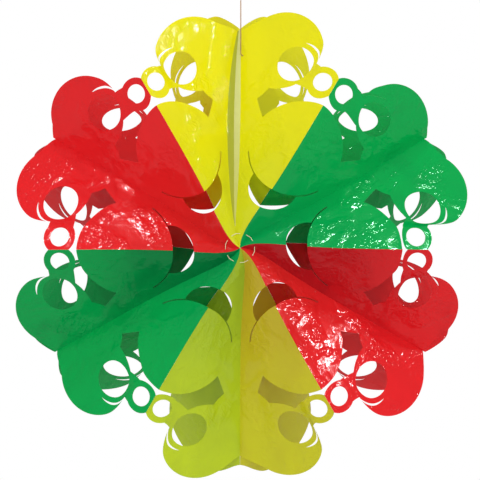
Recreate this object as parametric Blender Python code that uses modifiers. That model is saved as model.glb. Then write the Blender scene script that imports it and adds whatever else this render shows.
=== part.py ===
# Hanging flower of glossy plastic film, opened out from a flat stack of die-cut sheets.
#
# Twelve equal sheets are each folded on a mid line into a front wing and a back wing. Two sheets of
# one colour meet on each mid line and make a petal, and petals meet on the seams between them, so
# the wings close six hollow ridges. The first and the last sheet meet at the top, where they part a
# little. A thread loop holds the sheets round the centre, and a second thread hangs the flower.
#
# Metres, +Z up. The flower faces -Y. The origin is the top of the hanging loop.

import math

import bmesh
import bpy
from mathutils import Matrix, Vector

COLLECTION_NAME = "film_flower"
CUTTER_COLLECTION_NAME = "film_flower_cutters"

# Film and threads
film_thickness = 0.00025
glue_gap = 0.0003
thread_gap = 0.0003
hanging_thread_radius = 0.0005
centre_thread_radius = 0.00035

# How the flower opens: seams between petals rise to the front and fall to the back
front_seam_rise = math.radians(10)
back_seam_fall = math.radians(40)

# Cut pattern of a front wing, as it is seen from the front: the first number runs along the seam
# from the centre, and the second runs across from the seam towards the mid line
crescent_centre = 0.0603
crescent_radius = 0.0207
flap_centre = 0.0985
flap_radius = 0.0408
slit_width = 0.0009
slit_end_angle = math.radians(122)
lobe_centre = (0.1640, 0.0600)
lobe_radius = 0.0340
lobe_overlap = 0.0100
lobe_hole_offset = (-0.0057, -0.0163)
lobe_hole_radius = 0.0150
# The slot winds round the outer side of the lobe hole, and opens at the notch beside the neck
slot_inner_radius = 0.0195
slot_outer_radius = 0.0150
slot_outer_offset = 0.0071
slot_direction = math.radians(-33)
ring_inset = 0.0095
ring_seam_distance = 0.0104
ring_radius = 0.0133
ring_hole_radius = 0.0078
neck_width = 0.0215
gap_end_inner = (0.1197, 0.0532)
gap_end_outer = (0.1256, 0.0511)
gap_tail_angle = math.radians(76)

# Segments of a full circle
wide_arc_segments = 32
slot_arc_segments = 20
narrow_arc_segments = 14
thread_hole_segments = 8
thread_ring_segments = 36
knot_segments = 10
knot_rings = 6

# Flat plates that the cut pattern is worked out on, before its upper face becomes the film
plate_half_height = 0.001
tool_half_height = 0.002
core_half_height = 0.003
mid_line_tolerance = 0.00002
weld_distance = 0.00001
straight_tolerance = math.radians(0.5)

# Where the first and the last sheet part, measured outwards from the centre
closure_width = 0.0109
closure_start = 0.0180
closure_end = 0.2020
closure_fold_share = 0.55
closure_fold_depth = 0.0025
closure_segments = 10

# Threads
centre_loop_radius = 0.0130
tie_height = 0.1700
tie_offset = 0.0026
tie_lead = 0.0010
tie_knot_radius = 0.0012
thread_bend_radius = 0.0026
thread_bend_segments = 5
thread_straight_segments = 8
hanging_thread_length = 0.0500
hanging_loop_radius = 0.0050
hanging_loop_knot_radius = 0.0014

# Colours and finishes
film_roughness = 0.22
hanging_thread_roughness = 0.7
centre_thread_roughness = 0.5
film_colours = {
    "yellow": (0.80, 0.76, 0.02, 1.0),
    "green": (0.01, 0.40, 0.09, 1.0),
    "red": (0.78, 0.02, 0.02, 1.0),
}
thread_colour = (0.50, 0.30, 0.12, 1.0)
centre_thread_colour = (0.75, 0.72, 0.60, 1.0)

# Petals clockwise from the top, each with the names of its anticlockwise and its clockwise sheet
petals = (
    ("yellow", "yellow_top_left_sheet", "yellow_top_right_sheet"),
    ("green", "green_right_upper_sheet", "green_right_lower_sheet"),
    ("red", "red_right_upper_sheet", "red_right_lower_sheet"),
    ("yellow", "yellow_bottom_right_sheet", "yellow_bottom_left_sheet"),
    ("green", "green_left_lower_sheet", "green_left_upper_sheet"),
    ("red", "red_left_lower_sheet", "red_left_upper_sheet"),
)
closure_sheet = "yellow_top_left_sheet"
tied_sheet = "yellow_top_right_sheet"

# What follows from the sizes above
ring_centre = (lobe_centre[0] - ring_inset, ring_seam_distance)
lobe_hole_centre = (lobe_centre[0] + lobe_hole_offset[0], lobe_centre[1] + lobe_hole_offset[1])
half_petal = math.pi / len(petals)
# Both wings have the same angle between mid line and seam, which sets how far the mid lines fall
mid_fall = math.atan(math.cos(half_petal) * math.tan((back_seam_fall - front_seam_rise) / 2))
sheet_standoff = film_thickness / math.sqrt(2) + glue_gap / 2
sheet_shift = sheet_standoff / math.sin(half_petal / 2)


def fold_directions(mid_angle, seam_angle, seam_pitch):
    """Unit vectors along the mid line and along a seam that is pitched towards the back."""
    mid = Vector((
        math.cos(mid_fall) * math.cos(mid_angle),
        math.sin(mid_fall),
        math.cos(mid_fall) * math.sin(mid_angle)))
    seam = Vector((
        math.cos(seam_pitch) * math.cos(seam_angle),
        math.sin(seam_pitch),
        math.cos(seam_pitch) * math.sin(seam_angle)))
    return mid, seam


# Lengths in the film, along the mid line and along the seam, to the hole of the hanging thread
tie_on_seam = (tie_offset - sheet_standoff) / (math.cos(front_seam_rise) * math.sin(half_petal))
tie_on_mid = (
    tie_height - sheet_shift * math.cos(half_petal / 2)
    - tie_on_seam * math.cos(front_seam_rise) * math.cos(half_petal)) / math.cos(mid_fall)
tied_mid, tied_seam = fold_directions(math.pi / 2, math.pi / 2 - half_petal, -front_seam_rise)
# The hanging thread comes square out of the film towards the front, and then bends upwards
tie_direction = tied_seam.cross(tied_mid).normalized()
tie_level = Vector((tie_direction.x, tie_direction.y, 0)).normalized()
tie_slope = math.asin(tie_direction.z)
tie_depth = tie_on_mid * math.sin(mid_fall) - tie_on_seam * math.sin(front_seam_rise)
bend_reach = tie_lead * math.cos(tie_slope) + thread_bend_radius * (1 - math.sin(tie_slope))
loop_centre_z = -hanging_loop_radius - hanging_thread_radius
loop_knot_z = loop_centre_z - hanging_loop_radius
tie_z = loop_knot_z - hanging_thread_length
tie_point = -bend_reach * tie_level + Vector((0, 0, tie_z))
flower_centre = tie_point - Vector((tie_offset, tie_depth, tie_height))
knot_distance = tie_knot_radius + thread_gap + film_thickness / 2


def clear_scene():
    for item in list(bpy.data.objects):
        bpy.data.objects.remove(item, do_unlink=True)


def new_collection(name):
    collection = bpy.data.collections.new(name)
    bpy.context.scene.collection.children.link(collection)
    return collection


def new_material(name, colour, roughness):
    material = bpy.data.materials.new(name)
    material.use_nodes = True
    shader = material.node_tree.nodes["Principled BSDF"]
    shader.inputs["Base Color"].default_value = colour
    shader.inputs["Roughness"].default_value = roughness
    shader.inputs["Metallic"].default_value = 0.0
    return material


def new_mesh_object(name, builder, collection):
    mesh = bpy.data.meshes.new(name)
    builder.to_mesh(mesh)
    builder.free()
    item = bpy.data.objects.new(name, mesh)
    collection.objects.link(item)
    return item


def disc(name, centre, radius, segments, half_height, collection):
    """A flat round plate in the pattern plane."""
    builder = bmesh.new()
    place = Matrix.Translation((centre[0], centre[1], 0))
    bmesh.ops.create_cone(
        builder, cap_ends=True, segments=segments, radius1=radius, radius2=radius,
        depth=2 * half_height, matrix=place)
    return new_mesh_object(name, builder, collection)


def plate(name, corners, half_height, collection):
    """A flat plate in the pattern plane, from a filled 2D curve."""
    curve = bpy.data.curves.new(name, "CURVE")
    curve.dimensions = "2D"
    curve.fill_mode = "BOTH"
    curve.extrude = half_height
    spline = curve.splines.new("POLY")
    spline.points.add(len(corners) - 1)
    for point, (along, across) in zip(spline.points, corners):
        point.co = (along, across, 0, 1)
    spline.use_cyclic_u = True
    source = bpy.data.objects.new(name + "_curve", curve)
    collection.objects.link(source)
    bpy.context.view_layer.update()
    evaluated = source.evaluated_get(bpy.context.evaluated_depsgraph_get())
    mesh = bpy.data.meshes.new_from_object(evaluated)
    bpy.data.objects.remove(source, do_unlink=True)
    builder = bmesh.new()
    builder.from_mesh(mesh)
    bpy.data.meshes.remove(mesh)
    bmesh.ops.remove_doubles(builder, verts=builder.verts, dist=weld_distance)
    bmesh.ops.recalc_face_normals(builder, faces=builder.faces)
    return new_mesh_object(name, builder, collection)


def apply_boolean(target, tool, operation):
    """Cuts, joins or clips the target with the tool, and hides the tool."""
    modifier = target.modifiers.new(tool.name, "BOOLEAN")
    modifier.operation = operation
    modifier.solver = "EXACT"
    modifier.object = tool
    bpy.context.view_layer.update()
    evaluated = target.evaluated_get(bpy.context.evaluated_depsgraph_get())
    mesh = bpy.data.meshes.new_from_object(evaluated)
    target.modifiers.clear()
    target.data = mesh
    tool.hide_render = True
    tool.display_type = "WIRE"


def on_flap(radius, angle):
    return (flap_centre + radius * math.cos(angle), radius * math.sin(angle))


def sector(start_angle, end_angle):
    """Corners of a sector that reaches a slit's width past the flap."""
    steps = max(2, round(wide_arc_segments * abs(end_angle - start_angle) / (2 * math.pi)))
    turn = (end_angle - start_angle) / steps
    arc = [on_flap(flap_radius + slit_width, start_angle + turn * step) for step in range(steps + 1)]
    return [(flap_centre, 0)] + arc


def slot_cutter(name, cutters):
    """A crescent between the slot's inner circle round the lobe hole and its outer circle beside it."""
    slot_centre = (
        lobe_hole_centre[0] + slot_outer_offset * math.cos(slot_direction),
        lobe_hole_centre[1] + slot_outer_offset * math.sin(slot_direction))
    slot = disc(name, slot_centre, slot_outer_radius, slot_arc_segments, tool_half_height, cutters)
    core = disc(
        name + "_core", lobe_hole_centre, slot_inner_radius, wide_arc_segments, core_half_height, cutters)
    apply_boolean(slot, core, "DIFFERENCE")
    return slot


def wing_outline(name, thread_holes, cutters):
    """One wing of a sheet as a thin flat plate: a strip along the mid line, the flap and the crescent
    cut beside it, and the ring and the lobe at the end, clipped by the seam and the mid line."""
    # How far shapes reach past the lines that clip them
    margin = lobe_radius
    strip_reach = lobe_centre[0] - lobe_radius + lobe_overlap
    strip_corners = [
        (-margin, -margin),
        (strip_reach, -margin),
        (strip_reach, lobe_centre[1]),
        (lobe_centre[0], lobe_centre[1] + 2 * margin),
        (-margin, margin),
    ]
    wing = plate(name, strip_corners, plate_half_height, cutters)

    gap_corners = [
        (flap_centre, 0),
        (flap_centre, -margin),
        (ring_centre[0], -margin),
        (ring_centre[0], ring_centre[1] + ring_radius),
        (lobe_centre[0] - lobe_radius / 2, lobe_centre[1] - lobe_radius / 3),
        gap_end_outer,
        gap_end_inner,
        on_flap(flap_radius, gap_tail_angle),
    ]
    gap = plate(name + "_gap", gap_corners, tool_half_height, cutters)
    crescent = disc(
        name + "_crescent", (crescent_centre, 0), crescent_radius, wide_arc_segments, tool_half_height,
        cutters)
    slit = plate(name + "_slit", sector(slit_end_angle, math.pi), tool_half_height, cutters)
    for tool in (gap, crescent, slit):
        apply_boolean(wing, tool, "DIFFERENCE")

    flap = disc(
        name + "_flap", (flap_centre, 0), flap_radius, wide_arc_segments, plate_half_height, cutters)
    lobe = disc(name + "_lobe", lobe_centre, lobe_radius, wide_arc_segments, plate_half_height, cutters)
    neck_corners = [
        (ring_centre[0] - neck_width / 2, ring_centre[1]),
        (ring_centre[0] + neck_width / 2, ring_centre[1]),
        (ring_centre[0] + neck_width / 2, lobe_centre[1] - lobe_radius / 2),
        (ring_centre[0] - neck_width / 2, lobe_centre[1] - lobe_radius / 2),
    ]
    neck = plate(name + "_neck", neck_corners, plate_half_height, cutters)
    ring = disc(name + "_ring", ring_centre, ring_radius, narrow_arc_segments, plate_half_height, cutters)
    for tool in (flap, lobe):
        apply_boolean(wing, tool, "UNION")
    apply_boolean(wing, slot_cutter(name + "_slot", cutters), "DIFFERENCE")
    for tool in (neck, ring):
        apply_boolean(wing, tool, "UNION")

    lobe_hole = disc(
        name + "_lobe_hole", lobe_hole_centre, lobe_hole_radius, narrow_arc_segments, tool_half_height,
        cutters)
    ring_hole = disc(
        name + "_ring_hole", ring_centre, ring_hole_radius, narrow_arc_segments, tool_half_height,
        cutters)
    holes = [lobe_hole, ring_hole]
    for number, (centre, radius) in enumerate(thread_holes):
        holes.append(disc(
            f"{name}_thread_hole_{number}", centre, radius, thread_hole_segments, tool_half_height,
            cutters))
    for hole in holes:
        apply_boolean(wing, hole, "DIFFERENCE")

    reach = 2 * lobe_centre[0]
    wedge_corners = [(0, 0), (reach, 0), (reach, reach * math.tan(half_petal))]
    wedge = plate(name + "_wedge", wedge_corners, tool_half_height, cutters)
    apply_boolean(wing, wedge, "INTERSECT")
    wing.hide_render = True
    wing.display_type = "WIRE"
    return wing


def is_on_mid_line(place):
    return abs(place.y - place.x * math.tan(half_petal)) < mid_line_tolerance


def mid_order(vertex):
    return vertex.co.x


def is_straight(vertex):
    """Whether the outline runs straight on through one of its vertices."""
    ends = [edge.other_vert(vertex).co - vertex.co for edge in vertex.link_edges]
    return len(ends) == 2 and ends[0].angle(-ends[1], 0) < straight_tolerance


def flat_surface(wing):
    """The upper face of the flat wing plate, as an open surface in the plane z = 0. Its outlines are
    filled afresh, so that the crease is one straight edge in every wing."""
    builder = bmesh.new()
    builder.from_mesh(wing.data)
    builder.normal_update()
    others = [face for face in builder.faces if face.normal.z < 0.5]
    bmesh.ops.delete(builder, geom=others, context="FACES")
    for vertex in builder.verts:
        vertex.co.z = 0
    bmesh.ops.remove_doubles(builder, verts=builder.verts, dist=weld_distance)
    inner = [edge for edge in builder.edges if not edge.is_boundary]
    bmesh.ops.delete(builder, geom=builder.faces[:], context="FACES_ONLY")
    bmesh.ops.delete(builder, geom=inner, context="EDGES")
    bmesh.ops.dissolve_verts(builder, verts=[vertex for vertex in builder.verts if is_straight(vertex)])
    bmesh.ops.triangle_fill(builder, edges=builder.edges, use_beauty=True, normal=(0, 0, 1))
    return builder


def film_lengths(along, across):
    """Lengths in the film, along the mid line and along the seam, of a point of the cut pattern."""
    on_mid = across / math.sin(half_petal) / math.cos(mid_fall)
    on_seam = (along - across / math.tan(half_petal)) / math.cos(front_seam_rise)
    return on_mid, on_seam


def pattern_point(on_mid, on_seam):
    """The point of the cut pattern at the given lengths in the film."""
    across = on_mid * math.cos(mid_fall) * math.sin(half_petal)
    along = on_seam * math.cos(front_seam_rise) + across / math.tan(half_petal)
    return along, across


def closure_opening(height):
    """How far the first sheet's front crease stands from the mid line, at a height over the centre."""
    share = (height - closure_start) / (closure_end - closure_start)
    share = min(1, max(0, share))
    return closure_width * 4 * share * (1 - share)


def centre_thread_hole():
    """Where the centre loop crosses a front wing, and how wide its hole is."""
    mid, seam = fold_directions(0, half_petal, -front_seam_rise)
    # The depths of these two lengths cancel, because the loop lies level with the centre
    on_mid, on_seam = math.sin(front_seam_rise), math.sin(mid_fall)
    along, across = pattern_point(on_mid, on_seam)
    scale = (centre_loop_radius - sheet_shift) / math.hypot(along, across)
    thread_direction = Vector((0, 1, 0)).cross(on_mid * mid + on_seam * seam).normalized()
    steepness = abs(mid.cross(seam).normalized().dot(thread_direction))
    hole_radius = (centre_thread_radius + thread_gap + film_thickness) / steepness
    return (along * scale, across * scale), hole_radius


def tie_hole():
    """Where the hanging thread goes through the last sheet, beside the top mid line."""
    return pattern_point(tie_on_mid, tie_on_seam), hanging_thread_radius + thread_gap + film_thickness


def split_crease(builder):
    """Gives the crease of the flat wing evenly spaced points, so that it can bend."""
    bmesh.ops.triangulate(builder, faces=builder.faces)
    crease = [
        edge for edge in builder.edges
        if edge.is_boundary and all(is_on_mid_line(vertex.co) for vertex in edge.verts)]
    bmesh.ops.subdivide_edges(builder, edges=crease, cuts=closure_segments - 1)
    bmesh.ops.triangulate(builder, faces=[face for face in builder.faces if len(face.verts) > 3])


def fold_wing(builder, mid_angle, seam_angle, seam_pitch, parted):
    """Lays a flat wing on the plane between its mid line and its seam. The front wing beside the
    closure is bent away from its mid line, less and less towards the seam."""
    mid, seam = fold_directions(mid_angle, seam_angle, seam_pitch)
    bisector = (mid_angle + seam_angle) / 2
    start = flower_centre + sheet_shift * Vector((math.cos(bisector), 0, math.sin(bisector)))
    sideways = Vector((-math.sin(mid_angle), 0, math.cos(mid_angle)))
    for vertex in builder.verts:
        on_mid, on_seam = film_lengths(vertex.co.x, vertex.co.y)
        opening = closure_opening(vertex.co.length) if parted else 0
        closeness = on_mid / max(on_mid + on_seam, film_thickness)
        vertex.co = start + on_mid * mid + on_seam * seam + opening * closeness * sideways


def add_wing(sheet, flat_wing, mid_angle, seam_angle, seam_pitch, bent_crease, parted):
    """Adds a folded wing to the sheet, and gives the vertices of its crease from the centre out."""
    builder = flat_surface(flat_wing)
    if bent_crease:
        split_crease(builder)
    builder.verts.index_update()
    crease = [vertex for vertex in builder.verts if is_on_mid_line(vertex.co)]
    crease_numbers = [vertex.index for vertex in sorted(crease, key=mid_order)]
    fold_wing(builder, mid_angle, seam_angle, seam_pitch, parted)
    mesh = bpy.data.meshes.new("wing")
    builder.to_mesh(mesh)
    builder.free()
    first = len(sheet.verts)
    sheet.from_mesh(mesh)
    bpy.data.meshes.remove(mesh)
    sheet.verts.ensure_lookup_table()
    return [sheet.verts[first + number] for number in crease_numbers]


def add_pleat(sheet, front_crease, back_crease, mid_angle):
    """Spans the opening between the two creases of the first sheet with a narrow inward fold."""
    sideways = Vector((-math.sin(mid_angle), 0, math.cos(mid_angle)))
    rows = []
    for front, back in zip(front_crease, back_crease):
        opening = (front.co - back.co).length
        place = back.co + sideways * opening * (1 - closure_fold_share)
        place.y += closure_fold_depth * opening / closure_width
        rows.append((front, sheet.verts.new(place), back))
    for lower, upper in zip(rows, rows[1:]):
        for number in range(2):
            sheet.faces.new((lower[number], lower[number + 1], upper[number + 1], upper[number]))


def add_sheet(name, mid_angle, seam_angle, wings, material, collection):
    """One die-cut sheet: a front and a back wing that share the crease on the mid line."""
    parted = name == closure_sheet
    front_wing, back_wing = wings
    sheet = bmesh.new()
    front_crease = add_wing(sheet, front_wing, mid_angle, seam_angle, -front_seam_rise, parted, parted)
    back_crease = add_wing(sheet, back_wing, mid_angle, seam_angle, back_seam_fall, parted, False)
    if parted:
        add_pleat(sheet, front_crease, back_crease, mid_angle)
    bmesh.ops.remove_doubles(sheet, verts=sheet.verts, dist=weld_distance)
    bmesh.ops.triangulate(sheet, faces=sheet.faces)
    bmesh.ops.recalc_face_normals(sheet, faces=sheet.faces)
    item = new_mesh_object(name, sheet, collection)
    film = item.modifiers.new("film", "SOLIDIFY")
    film.thickness = film_thickness
    film.offset = 0
    film.use_even_offset = True
    item.data.materials.append(material)
    return item


def thread_curve(name, points, radius, closed, material, collection):
    """A thread along the points, as a curve with a round section."""
    curve = bpy.data.curves.new(name, "CURVE")
    curve.dimensions = "3D"
    curve.bevel_depth = radius
    curve.bevel_resolution = 1 if closed else 2
    curve.use_fill_caps = not closed
    spline = curve.splines.new("POLY")
    spline.points.add(len(points) - 1)
    for point, place in zip(spline.points, points):
        point.co = (*place, 1)
    spline.use_cyclic_u = closed
    item = bpy.data.objects.new(name, curve)
    collection.objects.link(item)
    item.data.materials.append(material)
    return item


def circle_points(centre, radius, count):
    """Points of an upright circle that faces the front, from its lowest point."""
    turns = [2 * math.pi * number / count for number in range(count)]
    return [
        Vector((centre[0] + radius * math.sin(turn), centre[1], centre[2] - radius * math.cos(turn)))
        for turn in turns]


def as_mesh(item, collection):
    """Replaces a curve object by a welded mesh object of the same name."""
    evaluated = item.evaluated_get(bpy.context.evaluated_depsgraph_get())
    mesh = bpy.data.meshes.new_from_object(evaluated)
    name = item.name
    bpy.data.objects.remove(item, do_unlink=True)
    builder = bmesh.new()
    builder.from_mesh(mesh)
    bmesh.ops.remove_doubles(builder, verts=builder.verts, dist=weld_distance)
    builder.to_mesh(mesh)
    builder.free()
    welded = bpy.data.objects.new(name, mesh)
    collection.objects.link(welded)
    return welded


def knot(name, centre, radius, collection):
    """A knot in a thread, as a small ball."""
    builder = bmesh.new()
    bmesh.ops.create_uvsphere(
        builder, u_segments=knot_segments, v_segments=knot_rings, radius=radius,
        matrix=Matrix.Translation(centre))
    return new_mesh_object(name, builder, collection)


def hanging_route():
    """Points of the hanging thread: from its knot inside the ridge square through the film, then in
    a bend upwards, and straight up in front of the mid line to the knot of the hanging loop."""
    route = [tie_point - (film_thickness / 2) * tie_direction, tie_point + tie_lead * tie_direction]
    bend_start = route[-1]
    for step in range(1, thread_bend_segments + 1):
        turn = tie_slope + (math.pi / 2 - tie_slope) * step / thread_bend_segments
        level = thread_bend_radius * (math.sin(turn) - math.sin(tie_slope))
        rise = thread_bend_radius * (math.cos(tie_slope) - math.cos(turn))
        route.append(bend_start + level * tie_level + Vector((0, 0, rise)))
    bend_end = route[-1]
    top = loop_knot_z - hanging_loop_knot_radius - thread_gap
    for step in range(1, thread_straight_segments + 1):
        rise = (top - bend_end.z) * step / thread_straight_segments
        route.append(bend_end + Vector((0, 0, rise)))
    return route


def add_threads(collection, cutters):
    hanging_material = new_material("hanging_thread", thread_colour, hanging_thread_roughness)
    centre_material = new_material("centre_thread", centre_thread_colour, centre_thread_roughness)
    ring = circle_points(flower_centre, centre_loop_radius, thread_ring_segments)
    thread_curve("centre_thread_loop", ring, centre_thread_radius, True, centre_material, collection)
    thread_curve(
        "hanging_thread", hanging_route(), hanging_thread_radius, False, hanging_material, collection)

    inner_knot = knot("tie_knot", tie_point - knot_distance * tie_direction, tie_knot_radius, collection)
    inner_knot.data.materials.append(hanging_material)

    loop_points = circle_points((0, 0, loop_centre_z), hanging_loop_radius, thread_ring_segments // 2)
    loop = thread_curve(
        "hanging_loop", loop_points, hanging_thread_radius, True, hanging_material, collection)
    bpy.context.view_layer.update()
    loop = as_mesh(loop, collection)
    loop_knot = knot("hanging_loop_knot", Vector((0, 0, loop_knot_z)), hanging_loop_knot_radius, cutters)
    apply_boolean(loop, loop_knot, "UNION")


def build_flower():
    clear_scene()
    collection = new_collection(COLLECTION_NAME)
    cutters = new_collection(CUTTER_COLLECTION_NAME)
    films = {
        name: new_material(name + "_film", colour, film_roughness)
        for name, colour in film_colours.items()}
    back_wing = wing_outline("back_wing", [], cutters)
    front_wing = wing_outline("front_wing", [centre_thread_hole()], cutters)
    tied_wing = wing_outline("tied_wing", [centre_thread_hole(), tie_hole()], cutters)
    for number, (colour, *sheet_names) in enumerate(petals):
        mid_angle = math.pi / 2 - 2 * half_petal * number
        for name, turn in zip(sheet_names, (half_petal, -half_petal)):
            front = tied_wing if name == tied_sheet else front_wing
            add_sheet(name, mid_angle, mid_angle + turn, (front, back_wing), films[colour], collection)
    add_threads(collection, cutters)


build_flower()
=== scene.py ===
"""Looks of a hanging flower made of folded, die-cut sheets of glossy plastic film.

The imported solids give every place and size. Each sheet of film is modelled again as a fine, slightly
crinkled skin that is cut and folded in the same way, and the threads as twisted plies with real knots.
"""

import sys
import logging
import math
from dataclasses import dataclass, field, replace
from enum import Enum

import bmesh
import bpy
from mathutils import Matrix, Vector, noise


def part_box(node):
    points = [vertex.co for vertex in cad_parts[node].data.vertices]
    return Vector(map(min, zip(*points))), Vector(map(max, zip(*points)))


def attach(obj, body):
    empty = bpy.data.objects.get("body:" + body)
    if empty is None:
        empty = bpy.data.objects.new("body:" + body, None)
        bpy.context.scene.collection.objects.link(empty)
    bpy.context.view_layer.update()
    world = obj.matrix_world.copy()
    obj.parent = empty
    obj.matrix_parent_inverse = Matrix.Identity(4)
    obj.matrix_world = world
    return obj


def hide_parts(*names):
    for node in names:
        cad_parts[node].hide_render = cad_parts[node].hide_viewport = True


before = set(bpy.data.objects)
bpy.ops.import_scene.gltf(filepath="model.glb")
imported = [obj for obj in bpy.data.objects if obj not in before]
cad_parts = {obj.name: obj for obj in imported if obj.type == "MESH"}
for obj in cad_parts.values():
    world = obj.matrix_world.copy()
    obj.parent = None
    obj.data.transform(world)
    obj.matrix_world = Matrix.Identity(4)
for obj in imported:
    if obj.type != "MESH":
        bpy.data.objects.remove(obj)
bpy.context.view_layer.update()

LOG = logging.getLogger("film_flower")
BODY = "root"
WELD = 0.00002
PIXEL = 0.00087
WHITE = (1, 1, 1, 1)


class Film(Enum):
    """Colours of film, each with the name of its material slot."""

    YELLOW = "yellow_film"
    GREEN = "green_film"
    RED = "red_film"


class Wing(Enum):
    """The two halves of a folded sheet."""

    FRONT = "front"
    BACK = "back"


class Boolean(Enum):
    """Ways in which one solid works on another."""

    CUT = "DIFFERENCE"
    JOIN = "UNION"
    CLIP = "INTERSECT"


class Cut(Enum):
    """Ways in which a wing of film is cut."""

    FRONT = "front"
    SHORT_GAP = "short_gap"
    WIDE_LOBE = "wide_lobe"
    UNCUT = "uncut"


# Modelling by hand


def smooth(value: float, low: float, high: float) -> float:
    """A smooth step from 0 at the low value to 1 at the high one."""
    share = min(1.0, max(0.0, (value - low) / (high - low)))
    return share * share * (3 - 2 * share)


def select_only(item: bpy.types.Object) -> None:
    """Deselects everything, then selects an object and makes it the active one.

    Args:
        item: The object.
    """
    bpy.ops.object.select_all(action="DESELECT")
    item.select_set(True)
    bpy.context.view_layer.objects.active = item


def work_on(target: bpy.types.Object, tool: bpy.types.Object, how: Boolean) -> None:
    """Applies a Boolean with a tool, and removes the tool.

    Args:
        target: The object that is changed.
        tool: A closed solid.
        how: Whether the tool cuts, joins or clips the target.
    """
    modifier = target.modifiers.new(tool.name, "BOOLEAN")
    modifier.operation = how.value
    modifier.solver = "EXACT"
    modifier.object = tool
    select_only(target)
    bpy.ops.object.modifier_apply(modifier=modifier.name)
    bpy.data.objects.remove(tool, do_unlink=True)


def add_disc(centre: tuple[float, float], radius: float, segments: int, half: float) -> bpy.types.Object:
    """Adds a flat round plate in the pattern plane.

    Args:
        centre: Its place in the cut pattern.
        radius: Its radius.
        segments: Corners of its outline.
        half: Half of its thickness.

    Returns:
        The new object.
    """
    bpy.ops.object.select_all(action="DESELECT")
    bpy.ops.mesh.primitive_cylinder_add(
        vertices=segments, radius=radius, depth=2 * half, location=(centre[0], centre[1], 0))
    return bpy.context.object


def extrude_plate(item: bpy.types.Object, half: float) -> None:
    """Makes a closed plate of a flat object, which reaches as far above its plane as below it.

    Args:
        item: The flat object.
        half: Half of the plate's thickness.
    """
    select_only(item)
    bpy.ops.object.mode_set(mode="EDIT")
    bpy.ops.mesh.select_all(action="SELECT")
    bpy.ops.transform.translate(value=(0, 0, -half))
    bpy.ops.mesh.extrude_region_move(TRANSFORM_OT_translate={"value": (0, 0, 2 * half)})
    bpy.ops.mesh.select_all(action="SELECT")
    bpy.ops.mesh.normals_make_consistent(inside=False)
    bpy.ops.object.mode_set(mode="OBJECT")


def add_plate(corners: list[tuple[float, float]], half: float) -> bpy.types.Object:
    """Adds a flat plate with straight sides in the pattern plane.

    Args:
        corners: Its corners in the cut pattern, in order.
        half: Half of its thickness.

    Returns:
        The new object.
    """
    bpy.ops.object.select_all(action="DESELECT")
    bpy.ops.mesh.primitive_circle_add(vertices=len(corners), fill_type="NGON")
    item = bpy.context.object
    for vertex, (along, across) in zip(item.data.vertices, corners):
        vertex.co = (along, across, 0)
    extrude_plate(item, half)
    return item


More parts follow.
